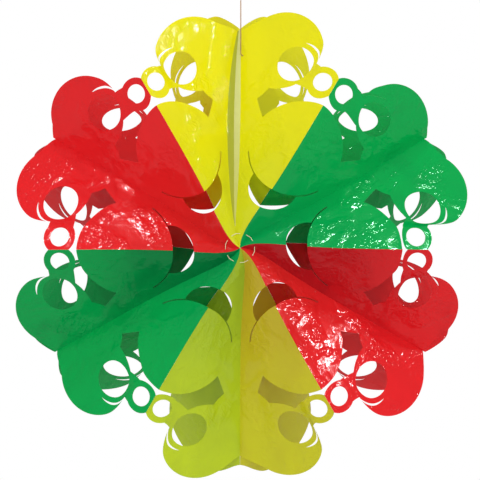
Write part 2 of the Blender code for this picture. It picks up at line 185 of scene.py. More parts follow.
@dataclass(frozen=True)
class CutPattern:
    """The outline that every wing of film is cut to, as it is seen from the front.

    The first number of a place runs along the seam from the flower's centre, and the second runs across
    from the seam towards the mid line.
    """

    crescent_centre: float = 0.0603
    crescent_radius: float = 0.0207
    flap_centre: float = 0.0985
    flap_radius: float = 0.0408
    slit_width: float = 0.0009
    slit_end: float = math.radians(122)
    lobe_centre: tuple[float, float] = (0.1640, 0.0600)
    lobe_radius: float = 0.0340
    lobe_overlap: float = 0.0100
    lobe_hole_centre: tuple[float, float] = (0.1583, 0.0437)
    lobe_hole_radius: float = 0.0150
    slot_inner_radius: float = 0.0195
    slot_outer_radius: float = 0.0150
    slot_outer_offset: float = 0.0063
    slot_direction: float = math.radians(-33)
    ring_centre: tuple[float, float] = (0.1545, 0.0104)
    ring_radius: float = 0.0133
    ring_hole_radius: float = 0.0078
    neck_width: float = 0.0215
    gap_end_inner: tuple[float, float] = (0.1197, 0.0532)
    gap_end_outer: tuple[float, float] = (0.1256, 0.0511)
    gap_tail: float = math.radians(76)
    notch_reach: float = 0.1920
    notch_width: float = 0.0110
    notch_margin: float = 0.002
    whole: bool = False
    wide_segments: int = 120
    narrow_segments: int = 56
    grid_step: float = 0.0019
    cloth: tuple[float, float] = (0.2080, 0.1060)
    half_petal: float = math.radians(30)

    def on_flap(self, radius: float, angle: float) -> tuple[float, float]:
        """The place at a radius and an angle round the flap's centre."""
        return self.flap_centre + radius * math.cos(angle), radius * math.sin(angle)

    def slit_corners(self) -> list[tuple[float, float]]:
        """Finds the sector that frees the flap's inner side, a slit's width wider than the flap.

        Returns:
            Its corners.
        """
        steps = round(self.wide_segments * (math.pi - self.slit_end) / (2 * math.pi))
        turn = (math.pi - self.slit_end) / steps
        radius = self.flap_radius + self.slit_width
        arc = [self.on_flap(radius, self.slit_end + turn * step) for step in range(steps + 1)]
        return [(self.flap_centre, 0)] + arc

    def gap_corners(self, margin: float) -> list[tuple[float, float]]:
        """Finds the gap between the flap, the ring and the lobe.

        Args:
            margin: How far the gap reaches past the seam.

        Returns:
            Its corners.
        """
        ring, lobe = self.ring_centre, self.lobe_centre
        return [
            (self.flap_centre, 0),
            (self.flap_centre, -margin),
            (ring[0], -margin),
            (ring[0], ring[1] + self.ring_radius),
            (lobe[0] - self.lobe_radius / 2, lobe[1] - self.lobe_radius / 3),
            self.gap_end_outer,
            self.gap_end_inner,
            self.on_flap(self.flap_radius, self.gap_tail),
        ]

    def notch_corners(self) -> list[tuple[float, float]]:
        """Finds the web that fills the bottom of the notch at the mid line.

        Returns:
            Its corners.
        """
        mid = Vector((math.cos(self.half_petal), math.sin(self.half_petal)))
        away = Vector((mid.y, -mid.x))
        lobe = Vector(self.lobe_centre)
        side = (lobe.dot(away) - self.notch_width) / self.lobe_radius
        top = lobe.dot(mid) + self.lobe_radius * math.sqrt(1 - side * side)
        inner = self.notch_reach - self.notch_width
        corners = (
            (inner, -self.notch_margin),
            (self.notch_reach, -self.notch_margin),
            (self.notch_reach, 0.0),
            (top, self.notch_width),
            (inner, self.notch_width),
        )
        return [tuple(mid * along + away * across) for along, across in reversed(corners)]

    def slot_cutter(self, half: float) -> bpy.types.Object:
        """Models the crescent round the outer side of the lobe hole.

        Args:
            half: Half of its thickness.

        Returns:
            The crescent as a plate.
        """
        centre = (
            self.lobe_hole_centre[0] + self.slot_outer_offset * math.cos(self.slot_direction),
            self.lobe_hole_centre[1] + self.slot_outer_offset * math.sin(self.slot_direction))
        slot = add_disc(centre, self.slot_outer_radius, self.narrow_segments, half)
        core = add_disc(self.lobe_hole_centre, self.slot_inner_radius, self.wide_segments, 2 * half)
        work_on(slot, core, Boolean.CUT)
        return slot

    def outline(self) -> bpy.types.Object:
        """Models the outline of a wing as a thick plate, by joining and cutting plates.

        Returns:
            The plate, in the pattern plane.
        """
        half, deep = 0.001, 0.002
        margin = self.lobe_radius
        lobe, ring = self.lobe_centre, self.ring_centre
        strip_reach = lobe[0] - self.lobe_radius + self.lobe_overlap
        wing = add_plate([
            (-margin, -margin),
            (strip_reach, -margin),
            (strip_reach, lobe[1]),
            (lobe[0], lobe[1] + 2 * margin),
            (-margin, margin),
        ], half)
        if not self.whole:
            work_on(wing, add_plate(self.gap_corners(margin), deep), Boolean.CUT)
        crescent = add_disc((self.crescent_centre, 0), self.crescent_radius, self.wide_segments, deep)
        work_on(wing, crescent, Boolean.CUT)
        work_on(wing, add_plate(self.slit_corners(), deep), Boolean.CUT)
        flap = add_disc((self.flap_centre, 0), self.flap_radius, self.wide_segments, half)
        work_on(wing, flap, Boolean.JOIN)
        work_on(wing, add_disc(lobe, self.lobe_radius, self.wide_segments, half), Boolean.JOIN)
        work_on(wing, add_plate(self.notch_corners(), half), Boolean.JOIN)
        if not self.whole:
            work_on(wing, self.slot_cutter(deep), Boolean.CUT)
        neck_top = lobe[1] - self.lobe_radius / 2
        neck = add_plate([
            (ring[0] - self.neck_width / 2, ring[1]),
            (ring[0] + self.neck_width / 2, ring[1]),
            (ring[0] + self.neck_width / 2, neck_top),
            (ring[0] - self.neck_width / 2, neck_top),
        ], half)
        work_on(wing, neck, Boolean.JOIN)
        work_on(wing, add_disc(ring, self.ring_radius, self.narrow_segments, half), Boolean.JOIN)
        work_on(wing, add_disc(ring, self.ring_hole_radius, self.narrow_segments, deep), Boolean.CUT)
        if not self.whole:
            hole = add_disc(self.lobe_hole_centre, self.lobe_hole_radius, self.narrow_segments, deep)
            work_on(wing, hole, Boolean.CUT)
        reach = 2 * lobe[0]
        wedge = add_plate([(0, 0), (reach, 0), (reach, reach * math.tan(self.half_petal))], deep)
        work_on(wing, wedge, Boolean.CLIP)
        return wing

    def cloth_grid(self) -> bpy.types.Object:
        """Adds a finely divided thin plate that covers the whole pattern.

        Returns:
            The plate.
        """
        width, height = self.cloth
        bpy.ops.object.select_all(action="DESELECT")
        bpy.ops.mesh.primitive_grid_add(
            x_subdivisions=round(width / self.grid_step), y_subdivisions=round(height / self.grid_step),
            size=1, location=(width / 2 - self.grid_step / 3, height / 2 - self.grid_step / 3, 0))
        item = bpy.context.object
        item.scale = (width, height, 1)
        bpy.ops.object.transform_apply(location=True, rotation=True, scale=True)
        extrude_plate(item, self.grid_step / 8)
        return item

    def blank(self) -> bpy.types.Object:
        """Cuts one flat wing of finely divided film.

        Returns:
            The wing as an open surface in the pattern plane.
        """
        item = self.cloth_grid()
        work_on(item, self.outline(), Boolean.CLIP)
        item.name = "wing_blank"
        surface = bmesh.new()
        surface.from_mesh(item.data)
        surface.normal_update()
        others = [face for face in surface.faces if face.normal.z < 0.5]
        bmesh.ops.delete(surface, geom=others, context="FACES")
        for vertex in surface.verts:
            vertex.co.z = 0
        bmesh.ops.remove_doubles(surface, verts=surface.verts, dist=WELD)
        surface.to_mesh(item.data)
        surface.free()
        return item


@dataclass(frozen=True)
class Folding:
    """How far the flower is opened, and where its centre is."""

    centre: Vector
    half_petal: float = CutPattern.half_petal
    front_rise: float = math.radians(10)
    back_fall: float = math.radians(40)
    crease_standoff: float = 0.00010
    seam_standoff: float = 0.00006
    swirl: float = math.radians(32)
    swirl_reach: float = 0.020

    @property
    def mid_fall(self) -> float:
        """How far the mid lines fall to the back."""
        return math.atan(math.cos(self.half_petal) * math.tan((self.back_fall - self.front_rise) / 2))

    def start(self, mid: float, seam: float) -> Vector:
        """The corner of a sheet, which is set off from the centre so that the sheet clears its neighbours.

        Args:
            mid: The mid line's angle.
            seam: The seam's angle.

        Returns:
            The point at which the sheet's mid line and its seams would meet.
        """
        along_mid = Vector((math.cos(mid), 0, math.sin(mid)))
        along_seam = Vector((math.cos(seam), 0, math.sin(seam)))
        offset = self.seam_standoff * along_mid + self.crease_standoff * along_seam
        return self.centre + offset / math.sin(self.half_petal)

    def twisted(self, point: Vector) -> Vector:
        """Turns a point near the centre about it, as the thread's pull twists all the sheets together.

        Args:
            point: The point.

        Returns:
            The turned point.
        """
        arm = point - self.centre
        radius = math.hypot(arm.x, arm.z)
        turn = -self.swirl * math.exp(-radius / self.swirl_reach)
        return self.centre + Matrix.Rotation(turn, 3, "Y") @ arm

    def directions(self, mid: float, seam: float, wing: Wing) -> tuple[Vector, Vector]:
        """Unit vectors along a mid line and a seam.

        Args:
            mid: The mid line's angle, as it is seen from the front.
            seam: The seam's angle.
            wing: The front seam rises to the front, and the back seam falls to the back.

        Returns:
            The direction of the mid line and that of the seam.
        """
        pitch = -self.front_rise if wing is Wing.FRONT else self.back_fall
        along_mid = Vector((
            math.cos(self.mid_fall) * math.cos(mid),
            math.sin(self.mid_fall),
            math.cos(self.mid_fall) * math.sin(mid)))
        along_seam = Vector((
            math.cos(pitch) * math.cos(seam), math.sin(pitch), math.cos(pitch) * math.sin(seam)))
        return along_mid, along_seam

    def lengths(self, along: float, across: float) -> tuple[float, float]:
        """Works out how far a place in the pattern lies along the film's two edges.

        Args:
            along: How far it lies along the seam, as it is seen from the front.
            across: How far it lies from the seam.

        Returns:
            Its lengths in the film along the mid line and along the seam.
        """
        on_mid = across / math.sin(self.half_petal) / math.cos(self.mid_fall)
        on_seam = (along - across / math.tan(self.half_petal)) / math.cos(self.front_rise)
        return on_mid, on_seam


@dataclass(frozen=True)
class Closure:
    """The opening at the top mid line, where the first sheet parts from the last."""

    width: float = 0.0109
    start: float = 0.0180
    end: float = 0.2020
    fold_share: float = 0.55
    fold_depth: float = 0.0025

    def opening(self, height: float) -> float:
        """How far the first sheet's front crease stands from the mid line, at a height."""
        share = min(1.0, max(0.0, (height - self.start) / (self.end - self.start)))
        return self.width * 4 * share * (1 - share)


@dataclass(frozen=True)
class Crinkle:
    """How the film of a wing bends, buckles and crinkles."""

    swell: float = 0.0012
    swell_scale: float = 17.0
    crease: float = 0.00012
    crease_scale: float = 80.0
    fade: float = 0.008
    bulge: float = 0.0120
    bulge_start: float = 0.070
    bulge_full: float = 0.150
    bulge_lean: float = 0.62
    tongue_lean: float = 0.0055
    tongue_start: tuple[float, float] = (0.050, 0.058)
    tongue_end: tuple[float, float] = (0.064, 0.100)
    tongue_side: tuple[float, float] = (0.001, 0.012)
    back_reach: float = 0.0120
    reach_start: tuple[float, float] = (0.080, 0.130)
    reach_seam: tuple[float, float] = (0.014, 0.034)
    reach_mid: tuple[float, float] = (0.0, 0.020)

    def height(self, place: Vector, edge: float, seed: float) -> float:
        """How far the film stands out from its plane.

        Args:
            place: The place in the cut pattern.
            edge: The distance to the nearer of the seam and the mid line.
            seed: Tells one wing from another.

        Returns:
            The height, in metres.
        """
        free = smooth(edge, 0, self.fade)
        turned = Vector((place.x, place.y, seed))
        swell = noise.noise(Vector((turned.x * self.swell_scale, turned.y * self.swell_scale, seed)))
        ripple = noise.noise(
            Vector((turned.x * self.crease_scale * 0.6, turned.y * self.crease_scale, seed + 7.3)))
        sharp = 1 - abs(2 * noise.noise(
            Vector((turned.x * self.crease_scale * 0.45, turned.y * self.crease_scale * 0.5, seed + 3.1))))
        return free * (self.swell * swell + self.crease * (ripple + sharp - 0.7))

    def bulge_height(self, radius: float, share: float) -> float:
        """How far a back wing bows towards the front.

        Args:
            radius: The distance from the flower's centre, in the pattern.
            share: 0 on the seam and 1 on the mid line.

        Returns:
            The height, in metres.
        """
        return self.bulge * smooth(radius, self.bulge_start, self.bulge_full) * math.sin(
            math.pi * min(1.0, max(0.0, share)) ** self.bulge_lean)

    def tongue(self, place: Vector, to_mid: float) -> float:
        """How far the free inner end of a back wing's flap leans towards the flower's centre."""
        free = smooth(place.x, *self.tongue_start) * (1 - smooth(place.x, *self.tongue_end))
        return self.tongue_lean * free * smooth(to_mid, *self.tongue_side)

    def reach(self, place: Vector, to_mid: float) -> float:
        """How far the free part of a back wing stretches outwards along its seam."""
        free = smooth(place.y, *self.reach_seam) * smooth(to_mid, *self.reach_mid)
        return self.back_reach * free * smooth(place.length, *self.reach_start)


@dataclass(frozen=True)
class Sway:
    """How far the free outer parts of a front wing have moved, to the right and upwards."""

    lobe: tuple[float, float] = (0.0, 0.0)
    ring_reach: float = 0.0
    lobe_start: tuple[float, float] = (0.115, 0.168)
    lobe_mid: tuple[float, float] = (0.0, 0.016)
    lobe_seam: tuple[float, float] = (0.016, 0.034)
    ring_start: tuple[float, float] = (0.134, 0.147)
    ring_end: tuple[float, float] = (0.020, 0.036)

    def move(self, place: Vector, to_mid: float, seam: float) -> Vector:
        """The movement of a place in the pattern.

        Args:
            place: The place.
            to_mid: Its distance from the mid line.
            seam: The seam's angle.

        Returns:
            The movement, in metres.
        """
        outer = smooth(place.length, *self.lobe_start)
        on_lobe = outer * smooth(to_mid, *self.lobe_mid) * smooth(place.y, *self.lobe_seam)
        on_ring = smooth(place.x, *self.ring_start) * (1 - smooth(place.y, *self.ring_end))
        lobe = Vector((self.lobe[0], 0, self.lobe[1]))
        return on_lobe * lobe + on_ring * self.ring_reach * Vector((math.cos(seam), 0, math.sin(seam)))


# Shader maths


class Signal:
    """A number that varies over a surface, which takes part in plain arithmetic."""

    def __init__(self, tree: "ShaderTree", socket: bpy.types.NodeSocket) -> None:
        """Wraps an output socket of a shader tree."""
        self.tree = tree
        self.socket = socket

    def _join(self, operation: str, first: "Signal | float", second: "Signal | float") -> "Signal":
        """Adds a Math node that works on two values."""
        node = self.tree.node("ShaderNodeMath", {"operation": operation}, {0: first, 1: second})
        return Signal(self.tree, node.outputs[0])

    def __add__(self, other: "Signal | float") -> "Signal":
        """Sum."""
        return self._join("ADD", self, other)

    def __radd__(self, other: float) -> "Signal":
        """Sum with a number first."""
        return self._join("ADD", other, self)

    def __sub__(self, other: "Signal | float") -> "Signal":
        """Difference."""
        return self._join("SUBTRACT", self, other)

    def __rsub__(self, other: float) -> "Signal":
        """Difference from a number."""
        return self._join("SUBTRACT", other, self)

    def __mul__(self, other: "Signal | float") -> "Signal":
        """Product."""
        return self._join("MULTIPLY", self, other)

    def __rmul__(self, other: float) -> "Signal":
        """Product with a number first."""
        return self._join("MULTIPLY", other, self)

    def size(self) -> "Signal":
        """The number without its sign."""
        return self._join("ABSOLUTE", self, 0.0)

    def step(self, low: float, high: float) -> "Signal":
        """Adds a smooth step from 0 at the low value to 1 at the high one.

        Args:
            low: The low value.
            high: The high value.

        Returns:
            The step.
        """
        node = self.tree.node(
            "ShaderNodeMapRange", {"interpolation_type": "SMOOTHSTEP"},
            {"Value": self, "From Min": low, "From Max": high})
        return Signal(self.tree, node.outputs["Result"])


Colour = tuple[float, float, float, float]


class ShaderTree:
    """The nodes of a material or of the world, added one at a time."""

    def __init__(self, owner: bpy.types.Material | bpy.types.World,
                 output: str = "ShaderNodeOutputMaterial") -> None:
        """Empties the nodes and adds their output.

        Args:
            owner: The material or the world.
            output: The type of its output node.
        """
        owner.use_nodes = True
        self.owner = owner
        self.nodes = owner.node_tree.nodes
        self.links = owner.node_tree.links
        self.nodes.clear()
        self.output = self.nodes.new(output)

    def node(self, kind: str, settings: dict[str, object], values: dict[int | str, object]) -> bpy.types.Node:
        """Adds a node.

        Args:
            kind: Its type.
            settings: Its settings, which are set first.
            values: What its sockets hold: a number, a colour, a socket or a Signal.

        Returns:
            The node.
        """
        made = self.nodes.new(kind)
        for name, value in settings.items():
            setattr(made, name, value)
        for name, value in values.items():
            socket = made.inputs[name]
            if isinstance(value, Signal):
                self.links.new(value.socket, socket)
            elif isinstance(value, bpy.types.NodeSocket):
                self.links.new(value, socket)
            else:
                socket.default_value = value
        return made

    def noise(self, place: bpy.types.NodeSocket, scale: float, detail: float, distortion: float) -> Signal:
        """Adds a noise pattern.

        Args:
            place: The coordinates that it varies with.
            scale: How fine it is.
            detail: How many finer patterns are laid over it.
            distortion: How far it is warped.

        Returns:
            The pattern, from 0 to 1.
        """
        made = self.node("ShaderNodeTexNoise", {}, {
            "Vector": place, "Scale": scale, "Detail": detail, "Distortion": distortion})
        return Signal(self, made.outputs["Fac"])

    def blend(self, share: "Signal | float", first: object, second: object) -> bpy.types.NodeSocket:
        """Adds a colour between two colours, on the colour sockets of a Mix node."""
        made = self.node("ShaderNodeMix", {"data_type": "RGBA"}, {0: share, 6: first, 7: second})
        return made.outputs[2]

    def show(self, shader: bpy.types.Node) -> None:
        """Leads a shader to the output."""
        self.links.new(shader.outputs[0], self.output.inputs["Surface"])


@dataclass(frozen=True)
class FilmFinish:
    """A finish of glossy, slightly crinkled, slightly translucent film, with painted shade and a painted
    reflection of the neighbouring films towards the flower's centre.
    """

    name: str
    colour: Colour
    # The deep colour is painted shade, laid on towards the flower's centre.
    deep: Colour
    # The tint is a painted reflection of the neighbouring films' colours, strongest near the centre.
    painted_reflection: Colour
    painted_reflection_reach: float = 0.14
    shine: float = 0.07
    through: float = 0.30
    painted_shade_reach: float = 0.09
    painted_shade_share: float = 0.55
    gloss: float = 0.28
    gloss_tint: Colour = WHITE
    cloud_scale: float = 28.0
    mottle_scale: float = 130.0
    fold_scale: float = 70.0
    wrinkle_scale: float = 80.0
    dimple_scale: float = 170.0
    wave_scale: float = 105.0
    cluster_scale: float = 34.0
    wrinkle_height: float = 0.00042

    def build(self, centre: Vector) -> bpy.types.Material:
        """Makes the material.

        Args:
            centre: The flower's centre, towards which shade and the neighbouring films' reflected colours are
                painted into the colour.

        Returns:
            The material.
        """
        tree = ShaderTree(bpy.data.materials.new(self.name))
        place = tree.node("ShaderNodeTexCoord", {}, {}).outputs["Object"]
        from_centre = tree.node(
            "ShaderNodeVectorMath", {"operation": "DISTANCE"}, {0: place, 1: tuple(centre)}).outputs["Value"]
        reach = Signal(tree, from_centre)
        cloudy = tree.noise(place, self.cloud_scale, 3.0, 0.4)
        mottled = tree.noise(place, self.mottle_scale, 2.0, 1.2)
        # Painted shade: the deep colour towards the flower's centre, plus random darker clouds of tone.
        painted_shade_and_clouds = (1 - reach.step(0.0, self.painted_shade_reach)) * self.painted_shade_share + cloudy.step(0.45, 0.75) * 0.25
        base = tree.blend(painted_shade_and_clouds, self.colour, self.deep)
        # Painted reflection of the neighbouring films' colours near the centre, with mottled flecks of it.
        painted_reflection_share = (1 - reach.step(0.03, self.painted_reflection_reach)) * 0.6 + mottled.step(0.5, 0.8) * 0.12
        base = tree.blend(painted_reflection_share, base, self.painted_reflection)
        folds = tree.noise(place, self.fold_scale, 2.0, 1.0)
        wrinkles = 1 - (tree.noise(place, self.wrinkle_scale, 1.0, 0.8) - 0.5).size().step(0.0, 0.11)
        dimples = 1 - (tree.noise(place, self.dimple_scale, 1.0, 0.3) - 0.5).size().step(0.0, 0.14)
        clusters = tree.noise(place, self.cluster_scale, 2.0, 0.5).step(0.42, 0.58)
        waves = tree.noise(place, self.wave_scale, 1.5, 0.4)
        relief = folds * 0.5 + (wrinkles * 0.35 + dimples * 0.25 + waves * 1.25) * clusters
        bump = tree.node("ShaderNodeBump", {}, {
            "Strength": 1.0, "Distance": self.wrinkle_height, "Height": relief})
        rough = cloudy * 0.06 + self.shine
        skin = tree.node("ShaderNodeBsdfPrincipled", {}, {
            "Base Color": base, "Roughness": rough, "IOR": 1.5, "Specular IOR Level": self.gloss,
            "Specular Tint": self.gloss_tint, "Normal": bump.outputs["Normal"]})
        glow = tree.node("ShaderNodeBsdfTranslucent", {}, {"Color": self.colour})
        mixed = tree.node("ShaderNodeMixShader", {}, {
            0: self.through, 1: skin.outputs["BSDF"], 2: glow.outputs["BSDF"]})
        tree.show(mixed)
        return tree.owner


@dataclass(frozen=True)
class ThreadFinish:
    """A finish of twisted thread."""

    name: str
    colour: Colour
    worn: Colour

    def build(self) -> bpy.types.Material:
        """Makes the material.

        Returns:
            The material.
        """
        tree = ShaderTree(bpy.data.materials.new(self.name))
        place = tree.node("ShaderNodeTexCoord", {}, {}).outputs["Object"]
        fibres = tree.noise(place, 2600.0, 2.0, 0.3)
        patches = tree.noise(place, 160.0, 2.0, 0.0)
        wear = fibres.step(0.35, 0.75) * 0.5 + patches.step(0.4, 0.7) * 0.4
        base = tree.blend(wear, self.colour, self.worn)
        bump = tree.node("ShaderNodeBump", {}, {"Strength": 0.5, "Distance": 0.00005, "Height": fibres})
        skin = tree.node("ShaderNodeBsdfPrincipled", {}, {
            "Base Color": base, "Roughness": fibres * 0.2 + 0.5, "Sheen Weight": 0.2,
            "Normal": bump.outputs["Normal"]})
        tree.show(skin)
        return tree.owner


def from_srgb(red: int, green: int, blue: int) -> Colour:
    """Turns a colour as it is seen on a screen into a shader colour.

    Args:
        red: Its red, from 0 to 255.
        green: Its green.
        blue: Its blue.

    Returns:
        The shader colour.
    """
    def linear(channel: int) -> float:
        """One channel, from 0 to 1 in even steps of light."""
        value = channel / 255
        return value / 12.92 if value <= 0.04045 else ((value + 0.055) / 1.055) ** 2.4
    return linear(red), linear(green), linear(blue), 1.0


GREEN_GLOSS = (0.5, 1.0, 0.7, 1.0)
RED_GLOSS = (1.0, 0.7, 0.7, 1.0)
YELLOW = FilmFinish(
    "yellow_film", from_srgb(238, 232, 10), from_srgb(205, 205, 30), from_srgb(214, 224, 40))
# Painted shade and a painted reflection of the green neighbours: this yellow is darker and greener.
YELLOW_WITH_PAINTED_SHADE_AND_GREEN_REFLECTION = FilmFinish(
    "yellow_film_painted_shade_green_reflection", from_srgb(200, 218, 30), from_srgb(160, 182, 40), from_srgb(150, 180, 50),
    painted_reflection_reach=0.2)
# Painted shade and a painted reflection of the red neighbours: this yellow is darker and more orange.
YELLOW_WITH_PAINTED_SHADE_AND_RED_REFLECTION = FilmFinish(
    "yellow_film_painted_shade_red_reflection", from_srgb(212, 210, 30), from_srgb(188, 170, 40), from_srgb(196, 160, 45),
    painted_reflection_reach=0.2)
CLOSURE_SHADE = FilmFinish(
    "yellow_film_in_shade", from_srgb(186, 190, 58), from_srgb(176, 178, 56), from_srgb(180, 180, 60))
CLOSURE_LIGHT = FilmFinish(
    "yellow_film_in_light", from_srgb(226, 228, 150), from_srgb(214, 214, 120), from_srgb(212, 212, 110))
GREEN = FilmFinish(
    "green_film", from_srgb(4, 176, 82), from_srgb(2, 140, 70), from_srgb(10, 165, 85),
    gloss_tint=GREEN_GLOSS)
SHADED_GREEN = FilmFinish(
    "green_film_in_shade", from_srgb(2, 168, 80), from_srgb(1, 92, 46), from_srgb(2, 130, 66),
    gloss_tint=GREEN_GLOSS, painted_shade_reach=0.17, painted_shade_share=0.85)
SHADED_RED = FilmFinish(
    "red_film_in_shade", from_srgb(230, 30, 36), from_srgb(140, 12, 20), from_srgb(190, 24, 32),
    gloss_tint=RED_GLOSS, painted_shade_reach=0.19, painted_shade_share=0.85)
RED = FilmFinish(
    "red_film", from_srgb(234, 33, 38), from_srgb(196, 24, 32), from_srgb(222, 42, 38),
    gloss_tint=RED_GLOSS)
FILM_FINISHES = (
    YELLOW, YELLOW_WITH_PAINTED_SHADE_AND_GREEN_REFLECTION, YELLOW_WITH_PAINTED_SHADE_AND_RED_REFLECTION, CLOSURE_SHADE, CLOSURE_LIGHT, GREEN, SHADED_GREEN, SHADED_RED,
    RED)


@dataclass
class FilmSheet:
    """One folded sheet: a front and a back wing that share the crease on the mid line."""

    node: str
    film: Film
    finish: FilmFinish
    mid: float
    side: int
    folding: Folding
    sway: Sway = field(default_factory=Sway)
    crinkle: Crinkle = field(default_factory=Crinkle)
    behind: Cut = Cut.WIDE_LOBE
    closure: Closure | None = None
    thickness: float = 0.00015

    @property
    def seed(self) -> float:
        """Tells the sheet's crinkles from those of the others."""
        return 10 * math.degrees(self.mid) + 3.7 * self.side

    def fold(self, mesh: bpy.types.Mesh, wing: Wing) -> list[int]:
        """Lays a flat wing on the plane between its mid line and its seam, and crinkles it.

        Args:
            mesh: The flat wing.
            wing: Which wing it becomes.

        Returns:
            The numbers of the vertices on the crease, from the centre out.
        """
        folding = self.folding
        seam = self.mid + self.side * folding.half_petal
        mid_way, seam_way = folding.directions(self.mid, seam, wing)
        outwards = mid_way.cross(seam_way).normalized() * self.side
        if wing is Wing.BACK:
            outwards.negate()
        start = folding.start(self.mid, seam)
        sideways = Vector((-math.sin(self.mid), 0, math.cos(self.mid)))
        seed = self.seed + (50 if wing is Wing.BACK else 0)
        crease = []
        for vertex in mesh.vertices:
            place = vertex.co.copy()
            to_mid = place.x * math.sin(folding.half_petal) - place.y * math.cos(folding.half_petal)
            if to_mid < WELD:
                crease.append((place.x, vertex.index))
            moved = self.crinkle.height(place, min(place.y, to_mid), seed) * outwards
            on_mid, on_seam = folding.lengths(place.x, place.y)
            closeness = on_mid / max(on_mid + on_seam, self.thickness)
            if wing is Wing.BACK:
                moved -= self.crinkle.bulge_height(place.length, closeness) * outwards
                moved -= self.crinkle.tongue(place, to_mid) * seam_way
                moved += self.crinkle.reach(place, to_mid) * seam_way
            else:
                moved += self.sway.move(place, to_mid, seam)
            if self.closure and wing is Wing.FRONT:
                moved += self.closure.opening(place.length) * closeness * sideways
            vertex.co = folding.twisted(start + on_mid * mid_way + on_seam * seam_way + moved)
        return [number for _, number in sorted(crease)]

    def pleat(self, sheet: bmesh.types.BMesh, front: list[int], back: list[int]) -> None:
        """Spans the opening between the two creases with a narrow inward fold.

        Args:
            sheet: The two wings, not yet welded.
            front: Numbers of the front crease's vertices, from the centre out.
            back: Numbers of the back crease's vertices.
        """
        sheet.verts.ensure_lookup_table()
        rows = []
        for first, last in zip([sheet.verts[n] for n in front], [sheet.verts[n] for n in back]):
            opening = (first.co - last.co).length
            if opening < WELD:
                rows.append(None)
                continue
            fold = last.co.lerp(first.co, 1 - self.closure.fold_share)
            fold.y += self.closure.fold_depth * opening / self.closure.width
            middle = sheet.verts.new(fold)
            rows.append((first, middle, last))
        for lower, upper in zip(rows, rows[1:]):
            if lower is None or upper is None:
                continue
            for number in range(2):
                face = sheet.faces.new((lower[number], lower[number + 1], upper[number + 1], upper[number]))
                face.material_index = number + 1

    def build(self, blanks: dict[Wing, bpy.types.Object],
              materials: dict[str, bpy.types.Material]) -> bpy.types.Object:
        """Folds the sheet from flat wings, and gives it its thickness.

        Args:
            blanks: The flat wings, as open surfaces.
            materials: The materials by their names.

        Returns:
            The finished sheet.
        """
        sheet = bmesh.new()
        creases = []
        for wing in Wing:
            mesh = blanks[wing].data.copy()
            first = len(sheet.verts)
            creases.append([first + number for number in self.fold(mesh, wing)])
            sheet.from_mesh(mesh)
            bpy.data.meshes.remove(mesh)
        if self.closure:
            self.pleat(sheet, *creases)
        bmesh.ops.remove_doubles(sheet, verts=sheet.verts, dist=WELD)
        bmesh.ops.recalc_face_normals(sheet, faces=sheet.faces)
        mesh = bpy.data.meshes.new(self.node + "_film")
        sheet.to_mesh(mesh)
        sheet.free()
        item = bpy.data.objects.new(self.node + "_film", mesh)
        bpy.context.scene.collection.objects.link(item)
        finishes = (self.finish, CLOSURE_SHADE, CLOSURE_LIGHT) if self.closure else (self.finish,)
        for finish in finishes:
            item.data.materials.append(materials[finish.name])
        wall = item.modifiers.new("wall", "SOLIDIFY")
        wall.thickness = self.thickness
        wall.offset = 0
        wall.use_even_offset = True
        select_only(item)
        bpy.ops.object.modifier_apply(modifier=wall.name)
        bpy.ops.object.shade_smooth_by_angle(angle=math.radians(40))
        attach(item, BODY)
        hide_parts(self.node)
        return item


